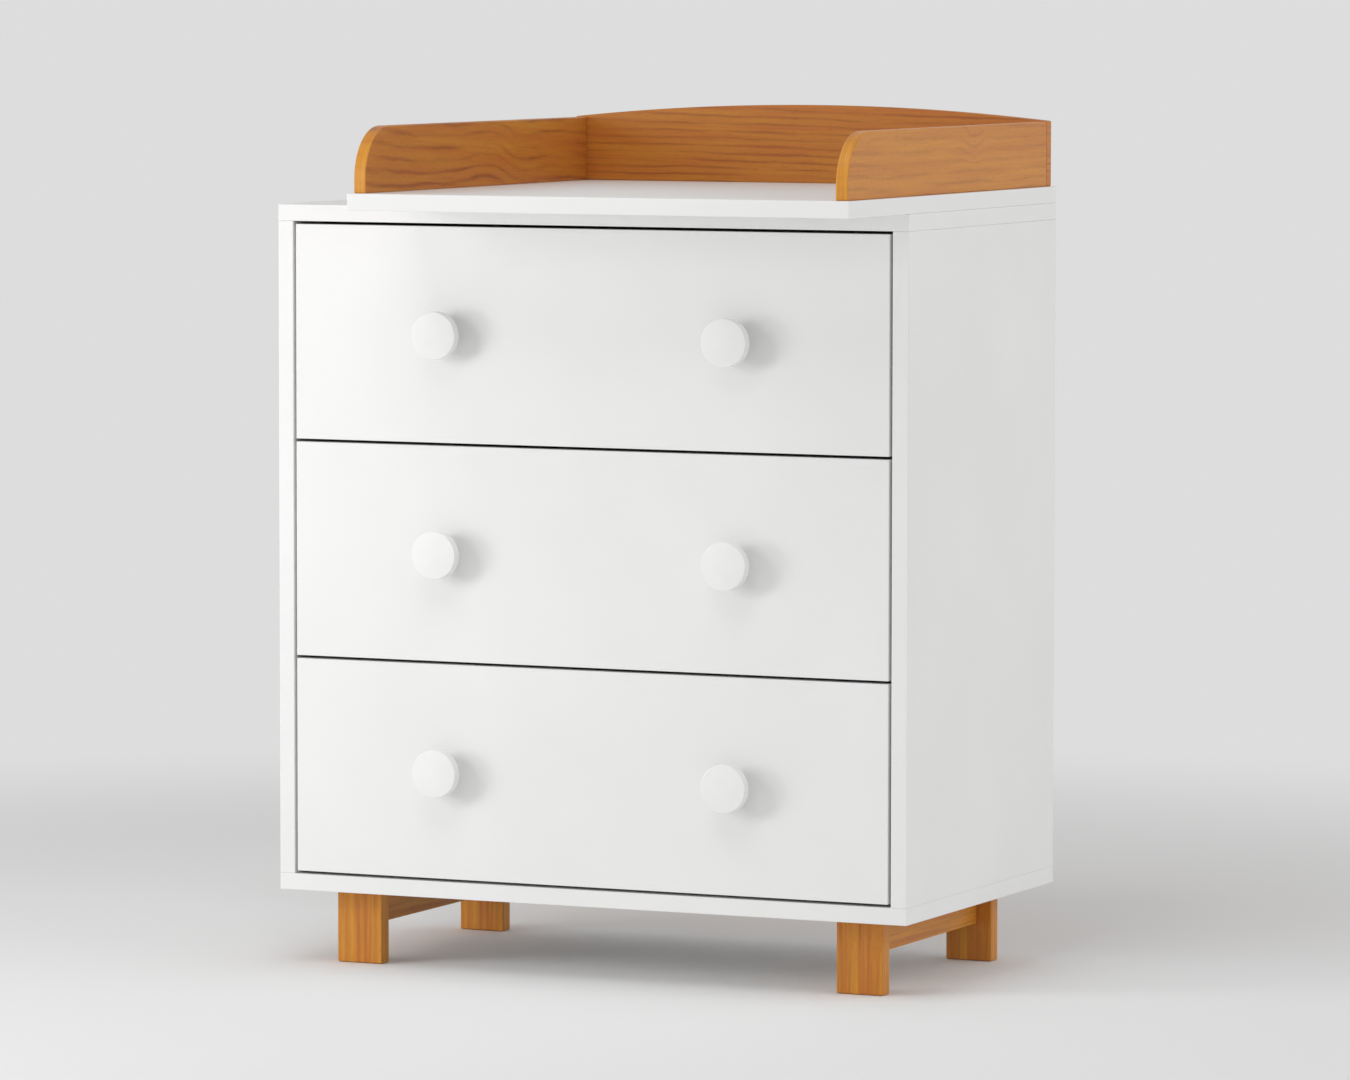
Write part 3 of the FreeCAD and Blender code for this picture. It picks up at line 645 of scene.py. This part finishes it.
# Satin white paint on the turned wood: a little brighter than the lacquer, with a fine ripple
# of about 1.4 mm.
PAINT_CLOUD, PAINT_RIPPLE = 0.025, 700.0     # metres from cloud to cloud; ripples to the metre
paint, tree, place = finish("satin_white_paint")
cloud = add(tree, "TexNoise", {"Vector": place, "Scale": 1 / PAINT_CLOUD, "Detail": 2.0})
ripple = add(tree, "TexNoise", {"Vector": place, "Scale": PAINT_RIPPLE, "Detail": 2.0})
add(tree, "OutputMaterial", {"Surface": add(tree, "BsdfPrincipled", {
    "Base Color": add(tree, "ValToRGB", {"Fac": cloud}, [(0.3, "#F0F0EF"), (0.7, "#F3F3F2")]),
    "IOR": 1.5,
    "Roughness": add(tree, "MapRange", {"Value": cloud, "To Min": 0.36, "To Max": 0.44}),
    "Normal": add(tree, "Bump", {"Height": ripple, "Strength": 0.1, "Distance": 0.0001}),
})})

# Rolled steel with a clear zinc plate: cool and bright, with faint streaks along the strip.
ROLLED = (900.0, 12.0, 900.0)    # streaks to the metre, along each axis
zinc_clear, tree, place = finish("clear_zinc_plate")
rolled = add(tree, "Mapping", {"Vector": place, "Scale": ROLLED})
streak = add(tree, "TexNoise", {"Vector": rolled, "Scale": 1.0, "Detail": 2.0})
add(tree, "OutputMaterial", {"Surface": add(tree, "BsdfPrincipled", {
    "Base Color": add(tree, "ValToRGB", {"Fac": streak}, [(0.3, "#B4B8BC"), (0.7, "#CFD2D5")]),
    "Metallic": 1.0,
    "Roughness": add(tree, "MapRange", {"Value": streak, "To Min": 0.2, "To Max": 0.34}),
})})
for level in DRAWERS:
    drawer = "drawer_" + level
    low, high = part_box(drawer + "_front")
    spots = [(side * KNOB_SPACING / 2, (low.z + high.z) / 2) for side in (-1, 1)]
    knobs = skin(drawer + "_turned_knobs", [knob(x, low.y, z) for x, z in spots])
    fasten(knobs, paint, "knob_paint", drawer, drawer + "_knobs")
    heads = [pan_screw((x, high.y, z), (0, 1, 0)) for x, z in spots]
    fasten(skin(drawer + "_knob_screws", heads), zinc_clear, "screw_steel", drawer)

# ---- Runners ------------------------------------------------------------------------------
# Full-extension runners of zinc-plated strip, rolled to three nested sections. The cabinet
# member is screwed to the side panel and the drawer member to the box, and the middle one
# hangs between them on two stages of balls in thin steel cages.
MILLIMETRE = 0.001
RUNNER_LIFT = 0.062              # bottom edge of the box to the runner's centre line
STEEL, CAGE_STEEL = 1.0, 0.4     # these and the sections are in millimetres
RACEWAY, FOLD, CAGE_FOLD = 2.95, 0.45, 0.4
CABINET_SECTION = [(10.3, 18.47), (10.3, 22.0), (0.5, 22.0)]
MIDDLE_SECTION = [(10.6, 12.57), (10.6, 16.1), (4.4, 16.1), (4.4, 19.54), (2.6, 19.54)]
DRAWER_SECTION = [(4.7, 13.73), (4.7, 10.2), (12.2, 10.2)]
BENDS, MIDDLE_BENDS = [RACEWAY, FOLD], [RACEWAY, RACEWAY, FOLD, FOLD]
OUTER_CAGE, INNER_CAGE = [(7.93, 20.59), (1.55, 20.59)], [(8.23, 14.69), (3.65, 14.69)]
BALL_RADIUS = 1.92
OUTER_BALLS, INNER_BALLS = (7.35, 19.05), (7.65, 13.15)
BALLS_IN_ROW, BALL_INSET = 21, 0.012
BALL_RINGS, BALL_SEGMENTS = 6, 8
HOLE_INSET, RUNNER_SCREW_HEAD, RUNNER_SCREW_LENGTH = 0.036, 0.003, 0.013
HEAD_PROUD = 0.0002              # how far a head stands out of the member's web


def strip(path, radii, thickness):
    """The outline of bent strip: its middle line moved half a thickness to either side.

    The path covers the upper half of the section; its mirror image follows. A bend keeps its
    centre, so its radius grows on the outer side and shrinks on the inner one.
    """
    path, radii = np.array(path, float), np.array(radii, float)
    path = np.concatenate((path, path[::-1] * (1, -1)))
    radii = np.concatenate(([0], radii, radii[::-1], [0]))
    run = np.diff(path, axis=0)
    run /= np.linalg.norm(run, axis=1, keepdims=True)
    left = np.stack((-run[:, 1], run[:, 0]), 1)
    before, after = np.concatenate((left[:1], left)), np.concatenate((left, left[-1:]))
    mitre = (before + after) / (1 + (before * after).sum(1))[:, None]
    turn = np.sign(before[:, 0] * after[:, 1] - before[:, 1] * after[:, 0])
    half = thickness / 2
    corners = np.concatenate((path + mitre * half, (path - mitre * half)[::-1]))
    widened = np.concatenate((radii - turn * half, (radii + turn * half)[::-1]))
    return corners, np.where(np.concatenate((radii, radii[::-1])) > 0, np.maximum(widened, 0), 0)


def rolled_member(section, bends, thickness, side, z, y_low, y_high):
    """A bent strip's section, on its side of the dresser, carried along Y."""
    corners, radii = strip(section, bends, thickness)
    corners = corners * MILLIMETRE
    corners[:, 0] = side * (side_low.x - corners[:, 0])
    corners[:, 1] += z
    line = outline(corners, radii * MILLIMETRE, steps=4)
    return plate(line, y_low, y_high, axes="xzy", steps=1)


def ball(x, y, z):
    """A small sphere of few faces."""
    t = np.radians(np.linspace(-90, 90, BALL_RINGS))
    profile = np.stack((np.cos(t), np.sin(t)), 1)
    radius = BALL_RADIUS * MILLIMETRE
    return turned(profile * radius, profile, (x, y, z), (0, 1, 0), BALL_SEGMENTS)


def caged_balls(section, balls, side, z, y_low, y_high):
    """A cage and the two rows of balls that it carries, evenly spaced."""
    out, up = np.array(balls) * MILLIMETRE
    grids = [rolled_member(section, [CAGE_FOLD], CAGE_STEEL, side, z, y_low, y_high)]
    for y in np.linspace(y_low + BALL_INSET, y_high - BALL_INSET, BALLS_IN_ROW):
        grids += [ball(side * (side_low.x - out), y, z + turn * up) for turn in (-1, 1)]
    return grids


def web_screws(section, side, towards, z, y_low, y_high):
    """Flat-headed screws near both ends of a member, through its web."""
    web = (section[-1][0] + towards * STEEL / 2) * MILLIMETRE
    x = side * (side_low.x - web - towards * HEAD_PROUD)
    grids = []
    for y in (y_low + HOLE_INSET, y_high - HOLE_INSET):
        at, axis = (x, y, z), (side * towards, 0, 0)
        grids += wood_screw(at, axis, RUNNER_SCREW_LENGTH, RUNNER_SCREW_HEAD)
    return grids


# Thin pressed steel and polished balls: greyer than the plated members, and cloudy over 1.7 mm.
CAGE_SPANGLE = 600.0             # to the metre
cage_steel, tree, place = finish("pressed_steel_and_balls")
spangle = add(tree, "TexNoise", {"Vector": place, "Scale": CAGE_SPANGLE, "Detail": 2.0})
add(tree, "OutputMaterial", {"Surface": add(tree, "BsdfPrincipled", {
    "Base Color": add(tree, "ValToRGB", {"Fac": spangle}, [(0.3, "#A3A7AB"), (0.7, "#BEC1C4")]),
    "Metallic": 1.0,
    "Roughness": add(tree, "MapRange", {"Value": spangle, "To Min": 0.16, "To Max": 0.3}),
})})
run_low, run_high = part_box("cabinet_runners_right")
span = (run_low.y, run_high.y)
heights = [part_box(f"drawer_{level}_side_right")[0].z + RUNNER_LIFT for level in DRAWERS]
for side, word in ((-1, "left"), (1, "right")):
    members = [rolled_member(CABINET_SECTION, BENDS, STEEL, side, z, *span) for z in heights]
    members = skin("cabinet_members_" + word, members)
    fasten(members, zinc_clear, "runner_steel", "carcass", "cabinet_runners_" + word)
screws = [g for side in (-1, 1) for z in heights
          for g in web_screws(CABINET_SECTION, side, 1, z, *span)]
fasten(skin("cabinet_member_screws", screws), zinc_clear, "screw_steel", "carcass")
for level, z in zip(DRAWERS, heights):
    drawer = "drawer_" + level
    for kind, node, body, section, bends in (
        ("middle", "middle", "middle_members_" + level, MIDDLE_SECTION, MIDDLE_BENDS),
        ("drawer", "inner", drawer, DRAWER_SECTION, BENDS),
    ):
        members = [rolled_member(section, bends, STEEL, side, z, *span) for side in (-1, 1)]
        members = skin(f"{drawer}_{kind}_members", members)
        fasten(members, zinc_clear, "runner_steel", body, f"{drawer}_runner_{node}")
    screws = [g for side in (-1, 1) for g in web_screws(DRAWER_SECTION, side, -1, z, *span)]
    fasten(skin(drawer + "_member_screws", screws), zinc_clear, "screw_steel", drawer)
    cage_low, cage_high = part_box(drawer + "_cage_outer")
    for stage, section, balls in (
        ("outer", OUTER_CAGE, OUTER_BALLS), ("inner", INNER_CAGE, INNER_BALLS),
    ):
        grids = [g for side in (-1, 1)
                 for g in caged_balls(section, balls, side, z, cage_low.y, cage_high.y)]
        cages = skin(f"{drawer}_{stage}_cages", grids)
        fasten(cages, cage_steel, "cage_steel", f"{stage}_cages_{level}", f"{drawer}_cage_{stage}")

# ---- Studio -------------------------------------------------------------------------------
# A pale seamless floor that takes the object's shadow. Far from it, and for the camera, the
# floor goes over to the plain pale colour of the background.
FLOOR_REACH, FLOOR_DROP = 70.0, 0.0005
FLOOR_FADE = {"From Min": 1.3, "From Max": 2.6}
BACKGROUND = "#DDDDDD"
SOFT_SKY = 0.515                 # strength of the white light from all round
AIM = Vector((0, 0, 0.5))        # the middle of the object


def seen_plain(tree):
    """One for a ray from the camera, or one that gloss or glass sends on."""
    path = add(tree, "LightPath").outputs
    seen, glossy = path["Is Camera Ray"], path["Is Glossy Ray"]
    seen = add(tree, "Math", {0: seen, 1: glossy}, operation="MAXIMUM")
    return add(tree, "Math", {0: seen, 1: path["Is Transmission Ray"]}, operation="MAXIMUM")


corners = rectangle(-FLOOR_REACH, FLOOR_REACH, -FLOOR_REACH, FLOOR_REACH)
mesh = bpy.data.meshes.new("floor")
mesh.from_pydata([(x, y, -FLOOR_DROP) for x, y in corners], [], [(0, 1, 2, 3)])
floor = bpy.data.objects.new("floor", mesh)
bpy.context.scene.collection.objects.link(floor)
pale, tree, place = finish("pale_floor")
away = add(tree, "VectorMath", {0: place}, operation="LENGTH").outputs["Value"]
far = add(tree, "MapRange", {"Value": away, **FLOOR_FADE}, interpolation_type="SMOOTHSTEP")
blend = add(tree, "Math", {0: far, 1: seen_plain(tree)}, operation="MULTIPLY")
near = add(tree, "BsdfDiffuse", {"Color": colour("#F4F4F4")})
plain = add(tree, "Emission", {"Color": colour(BACKGROUND)})
mixed = add(tree, "MixShader", {0: blend, 1: near, 2: plain})
add(tree, "OutputMaterial", {"Surface": mixed})
floor.data.materials.append(pale)

world = bpy.data.worlds.new("studio")
bpy.context.scene.world = world
world.use_nodes = True
tree = world.node_tree
tree.nodes.clear()
shown = add(tree, "Background", {"Color": colour(BACKGROUND), "Strength": 1.0})
soft = add(tree, "Background", {"Color": colour("#FFFFFF"), "Strength": SOFT_SKY})
mixed = add(tree, "MixShader", {0: seen_plain(tree), 1: soft, 2: shown})
add(tree, "OutputWorld", {"Surface": mixed})


def softbox(name, spot, size, power):
    """A square lamp at a spot, turned to face the middle of the object."""
    lamp = bpy.data.lights.new(name, "AREA")
    lamp.shape, lamp.size, lamp.energy = "SQUARE", size, power
    holder = bpy.data.objects.new(name, lamp)
    bpy.context.scene.collection.objects.link(holder)
    holder.location = spot
    holder.rotation_euler = (AIM - Vector(spot)).to_track_quat("-Z", "Y").to_euler()


softbox("key_low", (-2.21, -1.72, 0.6), 0.8, 17.0)
softbox("key_high", (-1.72, -2.21, 1.3), 0.8, 11.5)
softbox("overhead", (0, -1.6, 3.0), 1.5, 15.0)
softbox("right_fill", (4.0, 0, 1.4), 2.5, 26.0)
softbox("rear_fill", (3.0, 2.5, 1.8), 2.0, 10.0)

# ---- Camera -------------------------------------------------------------------------------
# A long lens, in front of the dresser and to its right, a little above its top. Its place and
# its turns come from a fit to the straight edges of the photograph.
CAMERA_PLACE = (3.66563, -7.86067, 1.18080)
YAW, PITCH, ROLL = 0.43139, 0.0778, 0.00102
LENS, SENSOR, VIEW_END = 198.706, 36.0, 500.0
camera = bpy.data.cameras.new("camera")
camera.lens, camera.sensor_width, camera.clip_end = LENS, SENSOR, VIEW_END
holder = bpy.data.objects.new("camera", camera)
bpy.context.scene.collection.objects.link(holder)
upright = Matrix.Rotation(math.pi / 2 - PITCH, 4, "X")
aimed = Matrix.Rotation(YAW, 4, "Z") @ upright @ Matrix.Rotation(ROLL, 4, "Z")
holder.rotation_euler = aimed.to_euler()
holder.location = CAMERA_PLACE
bpy.context.scene.camera = holder
bpy.context.scene.view_settings.view_transform = "Standard"
